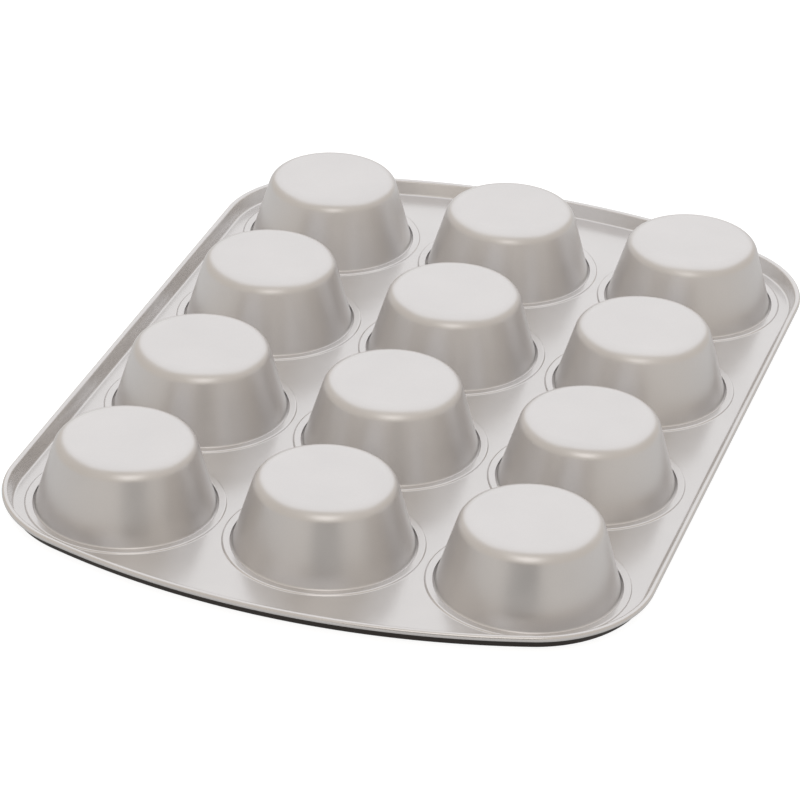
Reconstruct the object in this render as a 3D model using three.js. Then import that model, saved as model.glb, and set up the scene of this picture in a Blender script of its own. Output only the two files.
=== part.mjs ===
import * as THREE from 'three';

// Muffin pan lying mouth down: the food side of its sheet is on z = 0, the cups' closed ends point up.
// Millimetres, +Z up. Columns are counted along X and rows along Y, from the middle of the pan.

// Cups
const cupColumns = 3;
const cupRows = 4;
const cupSheet = 0.5;
const cupHeight = 29.5;
// Outer wall radius level with the frame's upper face, and where the wall's line meets the closed end
const mouthRadius = 34.75;
const endRadius = 26.35;
const endFillet = 6.3;
const footFillet = 1.3;

// Frame sheet and the stepped seat round each cup
const frameSheet = 0.6;
const seatClearance = 0.3;
const footClearance = 0.78;
const seatOverlap = 1.88;
const stepRun = 0.5;
const webAcross = 2.67;
const webAlong = 3.37;

// Rim: margins run from a seat's edge to the middle of the bead
const sideMargin = 7.68;
const endMargin = 21.09;
const cornerMargin = 9.28;
const endBowRadius = 284.4;
const beadRadius = 1.25;
const beadHeight = 5.6;
const wallFlare = THREE.MathUtils.degToRad(18);
const bendRadius = 1;
const curlSweep = THREE.MathUtils.degToRad(278);
const wireClearance = 0.15;

// Facets
const roundSteps = 24;
const filletSteps = 3;
const endFilletSteps = 4;
const cornerSteps = 7;
const endSteps = 8;
const curlSteps = 8;
const wireSides = 8;

// Cup wall: a cone between the mouth and the closed end
const wallTaper = (mouthRadius - endRadius) / (cupHeight - frameSheet);
const wallAngle = Math.atan(wallTaper);
const wallRadiusAt = (z) => mouthRadius - wallTaper * (z - frameSheet);

// The foot fillet joins the wall to the flange and leaves the frame's hole its clearance
const footCentreZ = cupSheet + footFillet;
const footCentreRadius = wallRadiusAt(footCentreZ) + footFillet / Math.cos(wallAngle);
const seatRise = cupSheet + seatClearance;
const footReach = Math.sqrt(footFillet ** 2 - (footFillet - seatClearance) ** 2);
const holeRadius = footCentreRadius - footReach + footClearance;
const flangeRadius = holeRadius + seatOverlap;

// The step between the seat and the open sheet keeps the sheet's thickness round both bends
const stepAngle = Math.atan2(seatRise, stepRun);
const stepShift = frameSheet * Math.tan(stepAngle / 2);
const recessRadius = flangeRadius + seatClearance;
const seatRadius = recessRadius + stepRun + stepShift;

// Cup grid
const pitchAcross = 2 * seatRadius + webAcross;
const pitchAlong = 2 * seatRadius + webAlong;
const columnX = (column) => (column - (cupColumns - 1) / 2) * pitchAcross;
const rowY = (row) => (row - (cupRows - 1) / 2) * pitchAlong;

// Points on an arc of a flat profile
function arcPoints(centreX, centreY, radius, from, to, steps) {
  const points = [];
  for (let step = 0; step <= steps; step += 1) {
    const angle = from + (to - from) * step / steps;
    points.push(new THREE.Vector2(centreX + radius * Math.cos(angle), centreY + radius * Math.sin(angle)));
  }
  return points;
}

// Middle line of the bead, counter-clockwise, with its outward normals: straight sides, bowed ends and
// round corners, each tangent to the next
function rimPath() {
  const halfWidth = columnX(cupColumns - 1) + seatRadius + sideMargin;
  const halfLength = rowY(cupRows - 1) + seatRadius + endMargin;
  const cornerRadius = seatRadius + cornerMargin;
  const cornerX = halfWidth - cornerRadius;
  const bowY = halfLength - endBowRadius;
  const cornerY = bowY + Math.sqrt((endBowRadius - cornerRadius) ** 2 - cornerX ** 2);
  const bowHalf = Math.atan2(cornerX, cornerY - bowY);
  const quarter = Math.PI / 2;
  const path = [];
  const sweep = (centreX, centreY, radius, from, to, steps, first) => {
    for (let step = first; step <= steps; step += 1) {
      const angle = from + (to - from) * step / steps;
      const normal = new THREE.Vector2(Math.cos(angle), Math.sin(angle));
      path.push({ point: new THREE.Vector2(centreX, centreY).addScaledVector(normal, radius), normal });
    }
  };
  for (const side of [1, -1]) {
    const turn = side > 0 ? 0 : Math.PI;
    const bowStart = turn + quarter - bowHalf;
    const bowEnd = turn + quarter + bowHalf;
    sweep(side * cornerX, side * cornerY, cornerRadius, turn, bowStart, cornerSteps, 0);
    sweep(0, side * bowY, endBowRadius, bowStart, bowEnd, endSteps, 1);
    sweep(-side * cornerX, side * cornerY, cornerRadius, bowEnd, turn + Math.PI, cornerSteps, 1);
  }
  return path;
}

// A closed sheet gathered from rings of points: strips between rings, and flat faces with holes
class SheetBuilder {
  positions = [];

  index = [];

  ring(points) {
    const start = this.positions.length / 3;
    points.forEach((point) => this.positions.push(point.x, point.y, point.z));
    return points.map((point, place) => start + place);
  }

  strips(rings) {
    for (let level = 1; level < rings.length; level += 1) {
      const lower = rings[level - 1];
      const upper = rings[level];
      lower.forEach((corner, place) => {
        const next = (place + 1) % lower.length;
        this.index.push(corner, lower[next], upper[next]);
        this.index.push(corner, upper[next], upper[place]);
      });
    }
  }

  flat(outer, holes, faceUp) {
    const flatPoint = (corner) => new THREE.Vector2().fromArray(this.positions, 3 * corner);
    const corners = [outer, ...holes].flat();
    const faces = THREE.ShapeUtils.triangulateShape(
      outer.map(flatPoint),
      holes.map((hole) => hole.map(flatPoint)),
    );
    for (const face of faces) {
      const [a, b, c] = face.map((place) => corners[place]);
      const area = THREE.ShapeUtils.area([a, b, c].map(flatPoint));
      this.index.push(...(area > 0 === faceUp ? [a, b, c] : [a, c, b]));
    }
  }

  geometry() {
    const geometry = new THREE.BufferGeometry();
    geometry.setAttribute('position', new THREE.Float32BufferAttribute(this.positions, 3));
    geometry.setIndex(this.index);
    geometry.computeVertexNormals();
    return geometry;
  }
}

// A ring that follows the rim at an outward offset and a height
function rimRing(path, offset, z) {
  return path.map(({ point, normal }) => new THREE.Vector3(
    point.x + offset * normal.x,
    point.y + offset * normal.y,
    z,
  ));
}

// A ring round a cup's middle, with its corners in line with the cup's own
function seatRing(x, y, radius, z) {
  const points = [];
  for (let step = 0; step < roundSteps; step += 1) {
    const angle = 2 * Math.PI * step / roundSteps - Math.PI / 2;
    points.push(new THREE.Vector3(x + radius * Math.cos(angle), y + radius * Math.sin(angle), z));
  }
  return points;
}

// Section of the rim from the food side, up the wall, round the curl and back to the upper face.
// x is the offset outward from the bead's middle line and y the height.
function rimSection() {
  const curlStart = Math.PI - wallFlare;
  const bendReach = beadRadius + bendRadius;
  const bendZ = frameSheet + bendRadius;
  const drop = (beadHeight + bendReach * Math.sin(wallFlare) - bendZ) / Math.cos(wallFlare);
  const bendX = -bendReach * Math.cos(wallFlare) - drop * Math.sin(wallFlare);
  const wallSide = 2 * Math.PI - wallFlare;
  const flatSide = 1.5 * Math.PI;
  return [
    ...arcPoints(bendX, bendZ, bendRadius + frameSheet, flatSide, wallSide, filletSteps),
    ...arcPoints(0, beadHeight, beadRadius - frameSheet, curlStart, curlStart - curlSweep, curlSteps),
    ...arcPoints(0, beadHeight, beadRadius, curlStart - curlSweep, curlStart, curlSteps),
    ...arcPoints(bendX, bendZ, bendRadius, wallSide, flatSide, filletSteps),
  ];
}

function makeFrame(path) {
  const sheet = new SheetBuilder();
  const seatTop = seatRise + frameSheet;
  const upperHoles = [];
  const lowerHoles = [];
  for (let row = 0; row < cupRows; row += 1) {
    for (let column = 0; column < cupColumns; column += 1) {
      const x = columnX(column);
      const y = rowY(row);
      const rings = [
        seatRing(x, y, seatRadius, frameSheet),
        seatRing(x, y, recessRadius + stepShift, seatTop),
        seatRing(x, y, holeRadius, seatTop),
        seatRing(x, y, holeRadius, seatRise),
        seatRing(x, y, recessRadius, seatRise),
        seatRing(x, y, recessRadius + stepRun, 0),
      ].map((points) => sheet.ring(points));
      sheet.strips(rings);
      upperHoles.push(rings[0]);
      lowerHoles.push(rings[rings.length - 1]);
    }
  }
  const rim = rimSection().map((place) => sheet.ring(rimRing(path, place.x, place.y)));
  sheet.strips(rim);
  sheet.flat(rim[rim.length - 1], upperHoles, true);
  sheet.flat(rim[0], lowerHoles, false);
  const material = new THREE.MeshStandardMaterial({ color: 0xd2cec9, roughness: 0.42, metalness: 0.7 });
  const frame = new THREE.Mesh(sheet.geometry(), material);
  frame.name = 'pan_frame';
  return frame;
}

// One drawn cup, turned about its own axis: the inside of the closed end and wall, the mouth and flange,
// and back up the outside
function makeCup() {
  const endCentreZ = cupHeight - endFillet;
  const endCentreRadius = endRadius - endFillet * Math.tan((Math.PI / 2 - wallAngle) / 2);
  const up = Math.PI / 2;
  const down = 1.5 * Math.PI;
  const inward = Math.PI + wallAngle;
  const profile = [
    new THREE.Vector2(0, cupHeight - cupSheet),
    ...arcPoints(endCentreRadius, endCentreZ, endFillet - cupSheet, up, wallAngle, endFilletSteps),
    ...arcPoints(footCentreRadius, footCentreZ, footFillet + cupSheet, inward, down, filletSteps),
    new THREE.Vector2(flangeRadius, 0),
    new THREE.Vector2(flangeRadius, cupSheet),
    ...arcPoints(footCentreRadius, footCentreZ, footFillet, down, inward, filletSteps),
    ...arcPoints(endCentreRadius, endCentreZ, endFillet, wallAngle, up, endFilletSteps),
    new THREE.Vector2(0, cupHeight),
  ];
  const geometry = new THREE.LatheGeometry(profile, roundSteps).rotateX(Math.PI / 2);
  const material = new THREE.MeshStandardMaterial({ color: 0xcdc8c3, roughness: 0.4, metalness: 0.7 });
  return new THREE.Mesh(geometry, material);
}

// The stiffening wire lies in the curl all the way round
function makeRimWire(path) {
  const sheet = new SheetBuilder();
  const wireRadius = beadRadius - frameSheet - wireClearance;
  const rings = [];
  for (let side = 0; side < wireSides; side += 1) {
    const angle = 2 * Math.PI * side / wireSides;
    const offset = wireRadius * Math.cos(angle);
    rings.push(sheet.ring(rimRing(path, offset, beadHeight + wireRadius * Math.sin(angle))));
  }
  sheet.strips([...rings, rings[0]]);
  const material = new THREE.MeshStandardMaterial({ color: 0x9a9a98, roughness: 0.35, metalness: 1 });
  const wire = new THREE.Mesh(sheet.geometry(), material);
  wire.name = 'rim_wire';
  return wire;
}

const pan = new THREE.Group();
const path = rimPath();
pan.add(makeFrame(path), makeRimWire(path));
for (let row = 0; row < cupRows; row += 1) {
  for (let column = 0; column < cupColumns; column += 1) {
    const cup = makeCup();
    cup.name = `cup_row${row + 1}_column${column + 1}`;
    cup.position.set(columnX(column), rowY(row), 0);
    pan.add(cup);
  }
}

export default pan;
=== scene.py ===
import bpy
import numpy as np
from mathutils import Matrix, Vector
from mathutils.geometry import delaunay_2d_cdt


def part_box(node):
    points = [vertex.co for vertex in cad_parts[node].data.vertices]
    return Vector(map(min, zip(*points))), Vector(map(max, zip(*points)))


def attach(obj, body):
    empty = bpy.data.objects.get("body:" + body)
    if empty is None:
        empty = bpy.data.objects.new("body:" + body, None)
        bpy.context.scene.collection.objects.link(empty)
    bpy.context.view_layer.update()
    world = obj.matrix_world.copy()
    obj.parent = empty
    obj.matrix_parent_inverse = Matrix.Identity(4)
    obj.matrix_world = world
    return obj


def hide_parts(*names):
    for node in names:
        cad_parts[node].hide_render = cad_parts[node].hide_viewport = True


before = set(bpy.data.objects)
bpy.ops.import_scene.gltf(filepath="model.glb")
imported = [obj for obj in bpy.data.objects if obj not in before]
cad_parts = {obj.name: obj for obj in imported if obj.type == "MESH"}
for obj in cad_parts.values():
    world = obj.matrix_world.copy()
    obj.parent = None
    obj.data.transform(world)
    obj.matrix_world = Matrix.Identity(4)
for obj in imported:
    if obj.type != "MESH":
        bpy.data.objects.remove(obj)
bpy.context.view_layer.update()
scene = bpy.context.scene
scene.view_settings.view_transform = "Standard"
mm = 0.001
cupNames = sorted(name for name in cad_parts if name.startswith("cup_"))
cupMiddles = np.array([(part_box(name)[0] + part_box(name)[1]) / 2 for name in cupNames])[:, :2] / mm
print("frame:", len(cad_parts), "nodes,", len(cupNames), "cups")


# sRGB to linear: c/12.92 below 0.04045, else ((c + 0.055)/1.055)^2.4
def toLinear(hexColour):
    shade = np.array([int(hexColour[i:i + 2], 16) for i in (1, 3, 5)]) / 255
    linear = np.where(shade <= 0.04045, shade / 12.92, ((shade + 0.055) / 1.055) ** 2.4)
    return (*map(float, linear), 1.0)


# One node: its settings are attributes, or values of inputs; links go from an output to one of its inputs
def addNode(tree, kind, settings=None, links=None):
    node = tree.nodes.new(kind)
    for key, value in (settings or {}).items():
        if hasattr(node, str(key)):
            setattr(node, key, value)
        else:
            node.inputs[key].default_value = value
    for socket, source in (links or {}).items():
        tree.links.new(source, node.inputs[socket])
    return node


# Cloudy pattern from 0 to 1, with its grain in mm and its number of octaves
def addNoise(tree, place, grain):
    size, octaves = grain
    settings = {"Scale": 1 / (size * mm), "Detail": octaves}
    return addNode(tree, "ShaderNodeTexNoise", settings, {"Vector": place}).outputs["Fac"]


# Relief of a depth in mm, as a normal for the shader
def addRelief(tree, height, depth):
    settings = {"Strength": 1.0, "Distance": depth * mm}
    return addNode(tree, "ShaderNodeBump", settings, {"Height": height}).outputs["Normal"]


# Two colours, blended where a pattern goes from the first to the second value of its span
def addTint(tree, pattern, span, colours):
    tint = addNode(tree, "ShaderNodeValToRGB", None, {"Fac": pattern})
    for stop, position, colour in zip(tint.color_ramp.elements, span, colours):
        stop.position = position
        stop.color = toLinear(colour)
    return tint.outputs["Color"]


def addSurface(tree, shader):
    addNode(tree, "ShaderNodeOutputMaterial", None, {"Surface": shader.outputs[0]})


def newMaterial(name):
    material = bpy.data.materials.new(name)
    material.use_nodes = True
    material.node_tree.nodes.clear()
    return material, material.node_tree


# Aluminium-flake silicone coat, sprayed on the outside and baked: a warm pale silver with a satin sheen,
# a faint orange peel that breaks up reflections, and soft clouds where the flakes lie more or less flat
coat = {
    "colour": "#dedcdb", "thin": "#d8d6d5", "tintSpan": (0.42, 0.92), "flakeShare": 0.35,
    "cloud": (26.0, 3.0), "flake": (0.55, 1.0), "peel": (1.3, 2.0), "peelDepth": 0.0035,
    "satinSpan": (0.3, 0.7),
}
# The rolled sheet keeps the coat smoother than the drawn cups do
coatOn = {
    "frame": {"metallic": 0.8, "roughness": (0.2, 0.26)},
    "cups": {"metallic": 0.94, "roughness": (0.33, 0.39)},
}


def makeCoat(base):
    material, tree = newMaterial("aluminiumFlakeCoat_" + base)
    place = addNode(tree, "ShaderNodeTexCoord").outputs["Object"]
    cloud = addNoise(tree, place, coat["cloud"])
    flake = addNoise(tree, place, coat["flake"])
    peel = addNoise(tree, place, coat["peel"])
    lie = addNode(tree, "ShaderNodeMath", {"operation": "MULTIPLY_ADD", 1: coat["flakeShare"]},
                  {0: flake, 2: cloud})
    cloudLow, cloudHigh = coat["satinSpan"]
    smooth, rough = coatOn[base]["roughness"]
    satin = addNode(tree, "ShaderNodeMapRange",
                    {"From Min": cloudLow, "From Max": cloudHigh, "To Min": smooth, "To Max": rough},
                    {"Value": cloud})
    tint = addTint(tree, lie.outputs[0], coat["tintSpan"], (coat["thin"], coat["colour"]))
    skin = addNode(tree, "ShaderNodeBsdfPrincipled", {"Metallic": coatOn[base]["metallic"]},
                   {"Base Color": tint, "Roughness": satin.outputs["Result"],
                    "Normal": addRelief(tree, peel, coat["peelDepth"])})
    addSurface(tree, skin)
    return material


# PTFE-type non-stick coat on the food side: brown black with a soft gloss and a fine pebble
nonstick = {
    "colour": "#261b12", "worn": "#2e231a", "tintSpan": (0.35, 0.75), "roughness": 0.42, "ior": 1.4,
    "pebble": (0.9, 3.0), "pebbleDepth": 0.004,
}


def makeNonstick():
    material, tree = newMaterial("blackNonstickCoat")
    place = addNode(tree, "ShaderNodeTexCoord").outputs["Object"]
    pebble = addNoise(tree, place, nonstick["pebble"])
    tint = addTint(tree, pebble, nonstick["tintSpan"], (nonstick["colour"], nonstick["worn"]))
    skin = addNode(tree, "ShaderNodeBsdfPrincipled",
                   {"Roughness": nonstick["roughness"], "IOR": nonstick["ior"]},
                   {"Base Color": tint, "Normal": addRelief(tree, pebble, nonstick["pebbleDepth"])})
    addSurface(tree, skin)
    return material


# Drawn steel wire: grey metal with a fine grain left by the die
drawnWire = {"colour": "#a3a3a1", "roughness": 0.34, "grain": (0.25, 2.0), "grainDepth": 0.004}


def makeDrawnWire():
    material, tree = newMaterial("drawnSteelWire")
    place = addNode(tree, "ShaderNodeTexCoord").outputs["Object"]
    grain = addNoise(tree, place, drawnWire["grain"])
    skin = addNode(tree, "ShaderNodeBsdfPrincipled",
                   {"Base Color": toLinear(drawnWire["colour"]), "Metallic": 1.0,
                    "Roughness": drawnWire["roughness"]},
                   {"Normal": addRelief(tree, grain, drawnWire["grainDepth"])})
    addSurface(tree, skin)
    return material


frameCoat = makeCoat("frame")
cupCoat = makeCoat("cups")
foodSide = makeNonstick()
wireSteel = makeDrawnWire()
print("materials:", frameCoat.name, cupCoat.name, foodSide.name, wireSteel.name)


# Points of a circle in a section: centre + radius * (cos a, sin a), a evenly spaced from start to end
def arc(centre, radius, start, end, steps):
    angle = np.radians(np.linspace(start, end, steps + 1))
    return np.array(centre) + radius * np.stack((np.cos(angle), np.sin(angle)), 1)


# A polyline with its corners turned into tangent arcs. A corner that turns the heading h by t takes an arc of
# radius q from q*tan(t/2) before it: start + q*((sin(h+st) - sin h), -(cos(h+st) - cos h)), s from 0 to 1.
# One more point just outside each end of an arc, at most the guard away, keeps the shading of the straight
# part straight.
def roundedProfile(corners, radii, steps, guard):
    corners, radii = np.array(corners, float), np.array(radii, float)
    run = np.diff(corners, axis=0)
    length = np.hypot(*run.T)
    along = run / length[:, None]
    heading = np.arctan2(along[:, 1], along[:, 0])
    turn = (np.diff(heading) + np.pi) % (2 * np.pi) - np.pi
    cut = radii * np.tan(np.abs(turn) / 2)
    free = length - np.r_[cut, 0] - np.r_[0, cut]
    spare = np.minimum(guard, free / 3)
    start = corners[1:-1] - along[:-1] * cut[:, None]
    first = heading[:-1, None]
    bend = first + turn[:, None] * np.linspace(0, 1, steps + 1)
    swing = np.stack((np.sin(bend) - np.sin(first), np.cos(first) - np.cos(bend)), 2)
    arcs = start[:, None] + (radii * np.sign(turn))[:, None, None] * swing
    before = start - along[:-1] * spare[:-1, None]
    after = arcs[:, -1] + along[1:] * spare[1:, None]
    rounded = np.concatenate((before[:, None], arcs, after[:, None]), 1).reshape(-1, 2)
    return np.concatenate((corners[:1], rounded, corners[-1:]))


# Place in a rounded profile of the point halfway round one of its bends, counted from 0.
# A bend has steps + 1 points on its arc and one more at each end; the profile's first corner comes before.
def bendMiddle(bend, steps):
    return 1 + bend * (steps + 3) + 1 + steps // 2


# A section turned about an upright axis: (x + r cos a, y + r sin a, z), a from 0 to a full turn
def turned(profile, middle, around):
    angle = np.linspace(0, 2 * np.pi, around, endpoint=False)
    x = middle[0] + np.outer(profile[:, 0], np.cos(angle))
    y = middle[1] + np.outer(profile[:, 0], np.sin(angle))
    return np.stack((x, y, np.broadcast_to(profile[:, 1:], x.shape)), 2)


# A section carried along a closed path: path point + offset * normal, at the section's height
def carried(section, path, normal):
    flat = path + section[:, None, :1] * normal
    return np.concatenate((flat, np.broadcast_to(section[:, None, 1:], flat.shape[:2] + (1,))), 2)


# Four-sided faces between neighbouring rings of a grid that closes on itself
def ringFaces(index):
    lower, upper = index[:-1], index[1:]
    faces = np.stack((lower, np.roll(lower, -1, 1), np.roll(upper, -1, 1), upper), 2)
    return faces.reshape(-1, 4)


# A finished piece from points in mm; dark is each face's place in the list of materials
def addPiece(name, points, faces, dark, materials, node):
    mesh = bpy.data.meshes.new(name)
    mesh.from_pydata((np.asarray(points) * mm).tolist(), [], faces)
    for material in materials:
        mesh.materials.append(material)
    mesh.polygons.foreach_set("material_index", np.asarray(dark, np.int32))
    mesh.polygons.foreach_set("use_smooth", np.ones(len(mesh.polygons), bool))
    mesh.update()
    piece = bpy.data.objects.new(name, mesh)
    scene.collection.objects.link(piece)
    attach(piece, "root")
    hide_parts(node)
    return piece


# Drawn cups, each turned from one section: inside of the closed end, wall, mouth, flange, and up the outside.
# The flange is pressed thin where it lies under the seat.
cup = {
    "height": 29.5, "sheet": 0.5, "mouthRadius": 34.75, "mouthZ": 0.6, "endRadius": 26.35, "endFillet": 6.3,
    "footFillet": 1.3, "flangeRadius": 37.58, "flangeTop": 0.3, "flangeEdge": 0.06,
    "bendSteps": 12, "guard": 0.5, "around": 128,
}


# Outer radius of the wall at a height z: mouth radius - taper * (z - the height it is measured at)
def makeCup(name, middle):
    taper = (cup["mouthRadius"] - cup["endRadius"]) / (cup["height"] - cup["mouthZ"])
    thickness = cup["sheet"] * np.hypot(1, taper)  # of the leaning wall, measured level

    def wall(z):
        return cup["mouthRadius"] - taper * (z - cup["mouthZ"])

    inner = cup["height"] - cup["sheet"]
    corners = [
        (0, inner), (wall(inner) - thickness, inner), (wall(0) - thickness, 0),
        (cup["flangeRadius"], 0), (cup["flangeRadius"], cup["flangeTop"]),
        (wall(cup["flangeTop"]), cup["flangeTop"]), (wall(cup["height"]), cup["height"]), (0, cup["height"]),
    ]
    radii = [cup["endFillet"] - cup["sheet"], cup["footFillet"] + cup["sheet"], cup["flangeEdge"],
             cup["flangeEdge"], cup["footFillet"], cup["endFillet"]]
    profile = roundedProfile(corners, radii, cup["bendSteps"], cup["guard"])
    rings = turned(profile[1:-1], middle, cup["around"])
    poles = [(*middle, inner), (*middle, cup["height"])]
    index = len(poles) + np.arange(rings[..., 0].size).reshape(rings.shape[:2])
    sides = ringFaces(index)
    innerFan = np.stack((np.zeros_like(index[0]), np.roll(index[0], -1), index[0]), 1)
    outerFan = np.stack((index[-1], np.roll(index[-1], -1), np.ones_like(index[-1])), 1)
    flangeFoot = bendMiddle(2, cup["bendSteps"])  # the dark coat ends halfway round the flange's lower edge
    onFoodSide = np.arange(1, len(profile) - 2) < flangeFoot
    dark = np.r_[np.repeat(onFoodSide, cup["around"]), np.ones(len(innerFan)), np.zeros(len(outerFan))]
    points = np.concatenate((poles, rings.reshape(-1, 3)))
    faces = sides.tolist() + innerFan.tolist() + outerFan.tolist()
    return addPiece(name + "_drawn", points, faces, dark, (cupCoat, foodSide), name)


for name, middle in zip(cupNames, cupMiddles):
    makeCup(name, middle)
print("cups:", len(cupNames))

# Frame sheet: a rim section carried round the outline, a stepped seat turned round each cup, flats between
rim = {
    "halfWidth": 126.5, "halfLength": 181.01, "cornerRadius": 48.0, "bowRadius": 284.4,
    "beadRadius": 1.25, "beadHeight": 5.6, "flare": 18.0, "bend": 1.0, "sheet": 0.6, "curl": 278.0,
    "flatStrip": 0.5, "cornerSteps": 40, "bowSteps": 48, "sideSteps": 12,
    "bendSteps": 10, "insideSteps": 24, "edgeSteps": 8, "outsideSteps": 32,
}
# The shelf slopes a little towards the cup, from the step's top to its lip. The step's upper face stands off
# from its lower one by the shift, so that the sheet keeps its thickness round both bends.
seat = {
    "holeRadius": 35.5, "recessRadius": 37.92, "run": 0.5, "shift": 0.281, "rise": 0.6, "sheet": 0.6,
    "lipTop": 1.02, "lipLow": 0.45, "topBend": 0.7, "footBend": 0.4, "edge": 0.26, "flatStrip": 1.0,
    "bendSteps": 6, "guard": 0.3, "around": 96,
}


# Middle line of the bead, counter-clockwise: corner arcs, bowed ends and straight sides, all tangent.
# An arc's point is centre + radius * (cos a, sin a), and its normal is (cos a, sin a). The second half is the
# first turned by half a turn: (-x, -y).
def rimPath():
    cornerX = rim["halfWidth"] - rim["cornerRadius"]
    bowY = rim["halfLength"] - rim["bowRadius"]
    cornerY = bowY + np.sqrt((rim["bowRadius"] - rim["cornerRadius"]) ** 2 - cornerX ** 2)
    half = np.degrees(np.arctan2(cornerX, cornerY - bowY))
    bends = [
        ((cornerX, cornerY), rim["cornerRadius"], 0, 90 - half, rim["cornerSteps"]),
        ((0, bowY), rim["bowRadius"], 90 - half, 90 + half, rim["bowSteps"]),
        ((-cornerX, cornerY), rim["cornerRadius"], 90 + half, 180, rim["cornerSteps"]),
    ]
    side = np.linspace(cornerY, -cornerY, rim["sideSteps"] + 1)[:-1]
    sidePoints = np.stack((np.full(len(side), -rim["halfWidth"]), side), 1)
    sideNormals = np.tile((-1.0, 0.0), (len(side), 1))
    path = np.concatenate([arc(*bend)[:-1] for bend in bends] + [sidePoints])
    normal = np.concatenate([arc((0, 0), 1, *bend[2:])[:-1] for bend in bends] + [sideNormals])
    return np.concatenate((path, -path)), np.concatenate((normal, -normal))


# Section of the rim: food side, outer bend, wall, inside of the curl, its edge and outside, inner bend
def rimSection():
    reach = rim["beadRadius"] + rim["bend"]
    flare = np.radians(rim["flare"])
    bendZ = rim["sheet"] + rim["bend"]
    drop = (rim["beadHeight"] + reach * np.sin(flare) - bendZ) / np.cos(flare)
    bendX = -reach * np.cos(flare) - drop * np.sin(flare)
    bead = (0, rim["beadHeight"])
    top = 180 - rim["flare"]
    tail = top - rim["curl"]
    middle = rim["beadRadius"] - rim["sheet"] / 2
    edge = np.array(bead) + middle * np.array((np.cos(np.radians(tail)), np.sin(np.radians(tail))))
    food = np.concatenate((
        [(bendX - rim["flatStrip"], 0)],
        arc((bendX, bendZ), rim["bend"] + rim["sheet"], 270, 360 - rim["flare"], rim["bendSteps"]),
        arc(bead, rim["beadRadius"] - rim["sheet"], top, tail, rim["insideSteps"]),
    ))
    outer = np.concatenate((
        arc(edge, rim["sheet"] / 2, tail + 180, tail + 360, rim["edgeSteps"])[1:-1],
        arc(bead, rim["beadRadius"], tail, top, rim["outsideSteps"]),
        arc((bendX, bendZ), rim["bend"], 360 - rim["flare"], 270, rim["bendSteps"]),
        [(bendX - rim["flatStrip"], rim["sheet"])],
    ))
    return np.concatenate((food, outer)), len(food)


# Section of a seat: from the flat, up the step, in over the shelf, round the hole's edge and back underneath
def seatSection():
    stepTop = seat["rise"] + seat["sheet"]
    stepFoot = seat["recessRadius"] + seat["run"]
    corners = [
        (stepFoot + seat["shift"] + seat["flatStrip"], seat["sheet"]),
        (stepFoot + seat["shift"], seat["sheet"]), (seat["recessRadius"] + seat["shift"], stepTop),
        (seat["holeRadius"], seat["lipTop"]), (seat["holeRadius"], seat["lipLow"]),
        (seat["recessRadius"], seat["rise"]), (stepFoot, 0), (stepFoot + seat["flatStrip"], 0),
    ]
    radii = [seat["footBend"], seat["topBend"], seat["edge"], seat["edge"],
             seat["topBend"] - seat["sheet"], seat["footBend"] + seat["sheet"]]
    return roundedProfile(corners, radii, seat["bendSteps"], seat["guard"])


# Flat between an outer ring and the seats' rings: a Delaunay net of their points, less faces inside a hole
def flatBetween(points, outerRing, holes):
    rings = [outerRing, *holes]
    counts = [len(ring) for ring in rings]
    corners = np.concatenate(rings)
    firsts = np.cumsum([0] + counts[:-1])
    loops = [first + np.arange(count) for first, count in zip(firsts, counts)]
    edges = np.concatenate([np.stack((loop, np.roll(loop, -1)), 1) for loop in loops])
    flat = [Vector(place) for place in points[corners][:, :2].tolist()]
    insideOnly, closeness = 1, 1e-6
    _, _, faces, origins, _, _ = delaunay_2d_cdt(flat, edges.tolist(), [], insideOnly, closeness)
    back = np.array([origin[0] for origin in origins])[np.array(faces)]
    owner = np.repeat(np.arange(len(rings)), counts)[back]
    inHole = (np.ptp(owner, axis=1) == 0) & (owner[:, 0] > 0)
    return corners[back[~inHole]]


def makeFrame(path, normal):
    section, foodPoints = rimSection()
    rimGrid = carried(section, path, normal)
    profile = seatSection()
    seatGrids = [turned(profile, middle, seat["around"]) for middle in cupMiddles]
    rimIndex = np.arange(rimGrid[..., 0].size).reshape(rimGrid.shape[:2])
    seatSize = seatGrids[0][..., 0].size
    seatIndex = [rimIndex.size + seatSize * place + np.arange(seatSize).reshape(grid.shape[:2])
                 for place, grid in enumerate(seatGrids)]
    points = np.concatenate([grid.reshape(-1, 3) for grid in (rimGrid, *seatGrids)])
    upper = flatBetween(points, rimIndex[-1], [index[0] for index in seatIndex])
    lower = flatBetween(points, rimIndex[0], [index[-1] for index in seatIndex])[:, ::-1]
    rimSides = ringFaces(rimIndex)
    seatSides = np.concatenate([ringFaces(index) for index in seatIndex])
    rimDark = np.repeat(np.arange(len(section) - 1) < foodPoints, len(path))
    holeEdge = bendMiddle(3, seat["bendSteps"])  # the dark coat starts halfway round the hole's lower edge
    seatDark = np.tile(np.repeat(np.arange(len(profile) - 1) > holeEdge, seat["around"]), len(seatGrids))
    dark = np.r_[rimDark, seatDark, np.zeros(len(upper)), np.ones(len(lower))]
    faces = rimSides.tolist() + seatSides.tolist() + upper.tolist() + lower.tolist()
    return addPiece("pan_frame_sheet", points, faces, dark, (frameCoat, foodSide), "pan_frame")


beadLine, beadNormal = rimPath()
panFrame = makeFrame(beadLine, beadNormal)
print("frame sheet:", len(panFrame.data.polygons), "faces")

# Rim wire: a circle carried round the bead's middle line, inside the curl
wire = {"radius": 0.5, "sides": 14}


def makeWire(path, normal):
    section = arc((0, rim["beadHeight"]), wire["radius"], 0, 360, wire["sides"])
    grid = carried(section[:-1], path, normal)
    index = np.arange(grid[..., 0].size).reshape(grid.shape[:2])
    faces = ringFaces(np.concatenate((index, index[:1])))
    return addPiece("rim_wire_drawn", grid.reshape(-1, 3), faces.tolist(), np.zeros(len(faces)), (wireSteel,),
                    "rim_wire")


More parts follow.
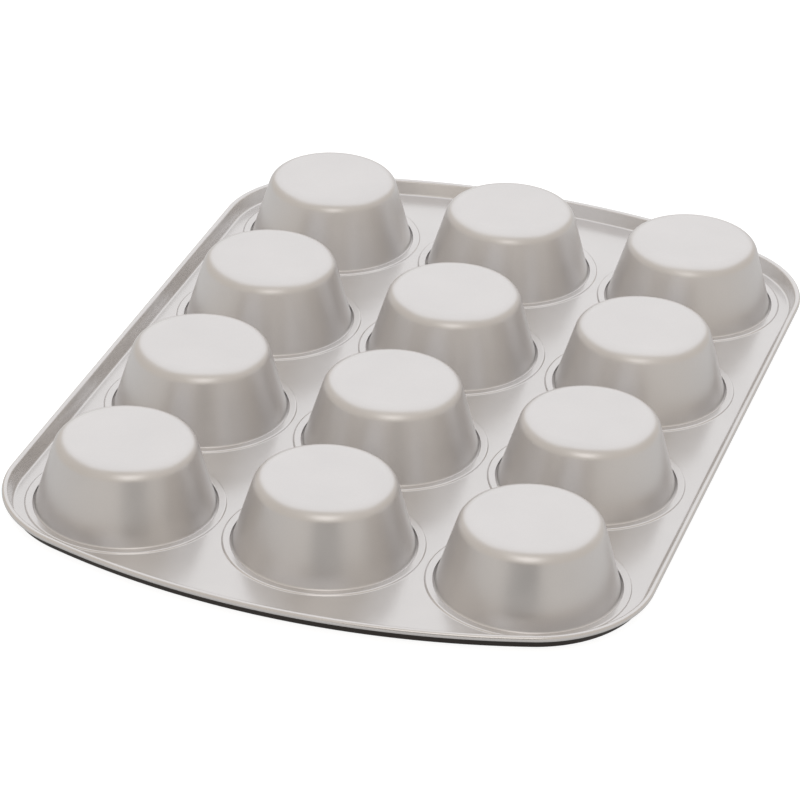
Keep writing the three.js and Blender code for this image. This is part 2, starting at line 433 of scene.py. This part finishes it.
makeWire(beadLine, beadNormal)
print("rim wire done")

# Camera: stands back from the target along its azimuth and elevation, turned a little about its axis
view = {
    "target": (-6.828, -7.65, 0.768), "azimuth": 16.841, "elevation": 29.333, "roll": 2.372,
    "distance": 1497.4, "focalPixels": 3719.9, "imageWidth": 800, "sensor": 36.0, "clip": (50.0, 50000.0),
}


# Back is (sin a cos e, -cos a cos e, sin e) for azimuth a and elevation e.
# The lens is the sensor's width times the focal length in pixels over the picture's width in pixels.
def makeCamera():
    azimuth, elevation, roll = np.radians([view["azimuth"], view["elevation"], view["roll"]])
    level = np.cos(elevation)
    back = Vector((np.sin(azimuth) * level, -np.cos(azimuth) * level, np.sin(elevation)))
    across = Vector((0, 0, 1)).cross(back).normalized()
    turn = Matrix((across, back.cross(across), back)).transposed().to_4x4() @ Matrix.Rotation(roll, 4, "Z")
    data = bpy.data.cameras.new("camera")
    data.sensor_width = view["sensor"]
    data.lens = view["focalPixels"] / view["imageWidth"] * view["sensor"]
    data.clip_start, data.clip_end = np.array(view["clip"]) * mm
    camera = bpy.data.objects.new("camera", data)
    scene.collection.objects.link(camera)
    camera.matrix_world = Matrix.Translation((Vector(view["target"]) + back * view["distance"]) * mm) @ turn
    scene.camera = camera


# Studio: white paper floor in an even, warm room, a wide silk that leans over the pan from behind, a small
# soft box below the camera for the light on the rounded edges, and a low flag in front for the shade on the
# walls. The camera sees the whole lift of the paper to white, and metal or glass a share of it.
studio = {
    "floorZ": -0.3, "floorSize": 8000.0, "paper": "#989898", "white": "#ffffff", "whiteLift": 0.9,
    "metalShare": 0.471, "room": "#dad3cb",
}
lamps = {
    "leaning_silk": {"middle": (-61.0, 496.0, 460.0), "aim": (11.0, 258.0, -107.0), "size": (1330.0, 1543.0),
                     "colour": "#e3efff", "glow": 0.44},
    "front_box": {"middle": (160.0, -560.0, 410.0), "aim": (35.0, -150.0, 0.0), "size": (330.0, 280.0),
                  "colour": "#ffffff", "glow": 0.7},
}
flag = {"middle": (115.0, -400.0), "width": 210.0, "foot": 10.0, "height": 65.0, "colour": "#5e5b58"}


def addStage(name, corners, material):
    mesh = bpy.data.meshes.new(name)
    mesh.from_pydata((np.array(corners) * mm).tolist(), [], [tuple(range(len(corners)))])
    mesh.materials.append(material)
    piece = bpy.data.objects.new(name, mesh)
    scene.collection.objects.link(piece)
    return piece


# Paper lit by the lamps, plus a glow of lift * max(camera ray, share * max(glossy ray, transmission ray))
def makeFloor():
    material, tree = newMaterial("whitePaper")
    ray = addNode(tree, "ShaderNodeLightPath")
    metal = addNode(tree, "ShaderNodeMath", {"operation": "MAXIMUM"},
                    {0: ray.outputs["Is Glossy Ray"], 1: ray.outputs["Is Transmission Ray"]})
    mirrored = addNode(tree, "ShaderNodeMath", {"operation": "MULTIPLY", 1: studio["metalShare"]},
                       {0: metal.outputs[0]})
    seen = addNode(tree, "ShaderNodeMath", {"operation": "MAXIMUM"},
                   {0: ray.outputs["Is Camera Ray"], 1: mirrored.outputs[0]})
    lift = addNode(tree, "ShaderNodeMath", {"operation": "MULTIPLY", 1: studio["whiteLift"]},
                   {0: seen.outputs[0]})
    paper = addNode(tree, "ShaderNodeBsdfDiffuse", {"Color": toLinear(studio["paper"])})
    glow = addNode(tree, "ShaderNodeEmission", {"Color": toLinear(studio["white"])},
                   {"Strength": lift.outputs[0]})
    both = addNode(tree, "ShaderNodeAddShader", None, {0: paper.outputs[0], 1: glow.outputs[0]})
    addSurface(tree, both)
    half, z = studio["floorSize"] / 2, studio["floorZ"]
    corners = [(-half, -half, z), (half, -half, z), (half, half, z), (-half, half, z)]
    addStage("paper_floor", corners, material)


def makeWorld():
    world = bpy.data.worlds.new("studioRoom")
    world.use_nodes = True
    tree = world.node_tree
    tree.nodes.clear()
    glow = addNode(tree, "ShaderNodeBackground", {"Color": toLinear(studio["room"]), "Strength": 1.0})
    addNode(tree, "ShaderNodeOutputWorld", None, {"Surface": glow.outputs[0]})
    scene.world = world


# A soft box square to the camera, facing its aim; one radiance L all over takes the power L * pi * area
def makeLamp(name, lamp):
    azimuth = np.radians(view["azimuth"])
    across = Vector((np.cos(azimuth), np.sin(azimuth), 0))
    back = (Vector(lamp["middle"]) - Vector(lamp["aim"])).normalized()
    along = back.cross(across).normalized()
    turn = Matrix((along.cross(back), along, back)).transposed().to_4x4()
    width, height = lamp["size"]
    data = bpy.data.lights.new(name, "AREA")
    data.shape = "RECTANGLE"
    data.size = width * mm
    data.size_y = height * mm
    data.color = toLinear(lamp["colour"])[:3]
    data.energy = lamp["glow"] * np.pi * data.size * data.size_y
    box = bpy.data.objects.new(name, data)
    scene.collection.objects.link(box)
    box.matrix_world = Matrix.Translation(Vector(lamp["middle"]) * mm) @ turn
    box.visible_camera = False


# A low upright felt, square to the line from the pan's middle to its own
def makeFlag():
    material, tree = newMaterial("darkFelt")
    addSurface(tree, addNode(tree, "ShaderNodeBsdfDiffuse", {"Color": toLinear(flag["colour"])}))
    x, y = flag["middle"]
    across = np.array((-y, x)) / np.hypot(x, y) * flag["width"] / 2
    ends = [flag["middle"] - across, flag["middle"] + across]
    feet = [(*end, flag["foot"]) for end in ends]
    tops = [(*end, flag["height"]) for end in reversed(ends)]
    addStage("felt_flag", feet + tops, material).visible_camera = False


makeFloor()
makeWorld()
for name, lamp in lamps.items():
    makeLamp(name, lamp)
makeFlag()
makeCamera()
print("studio and camera done")
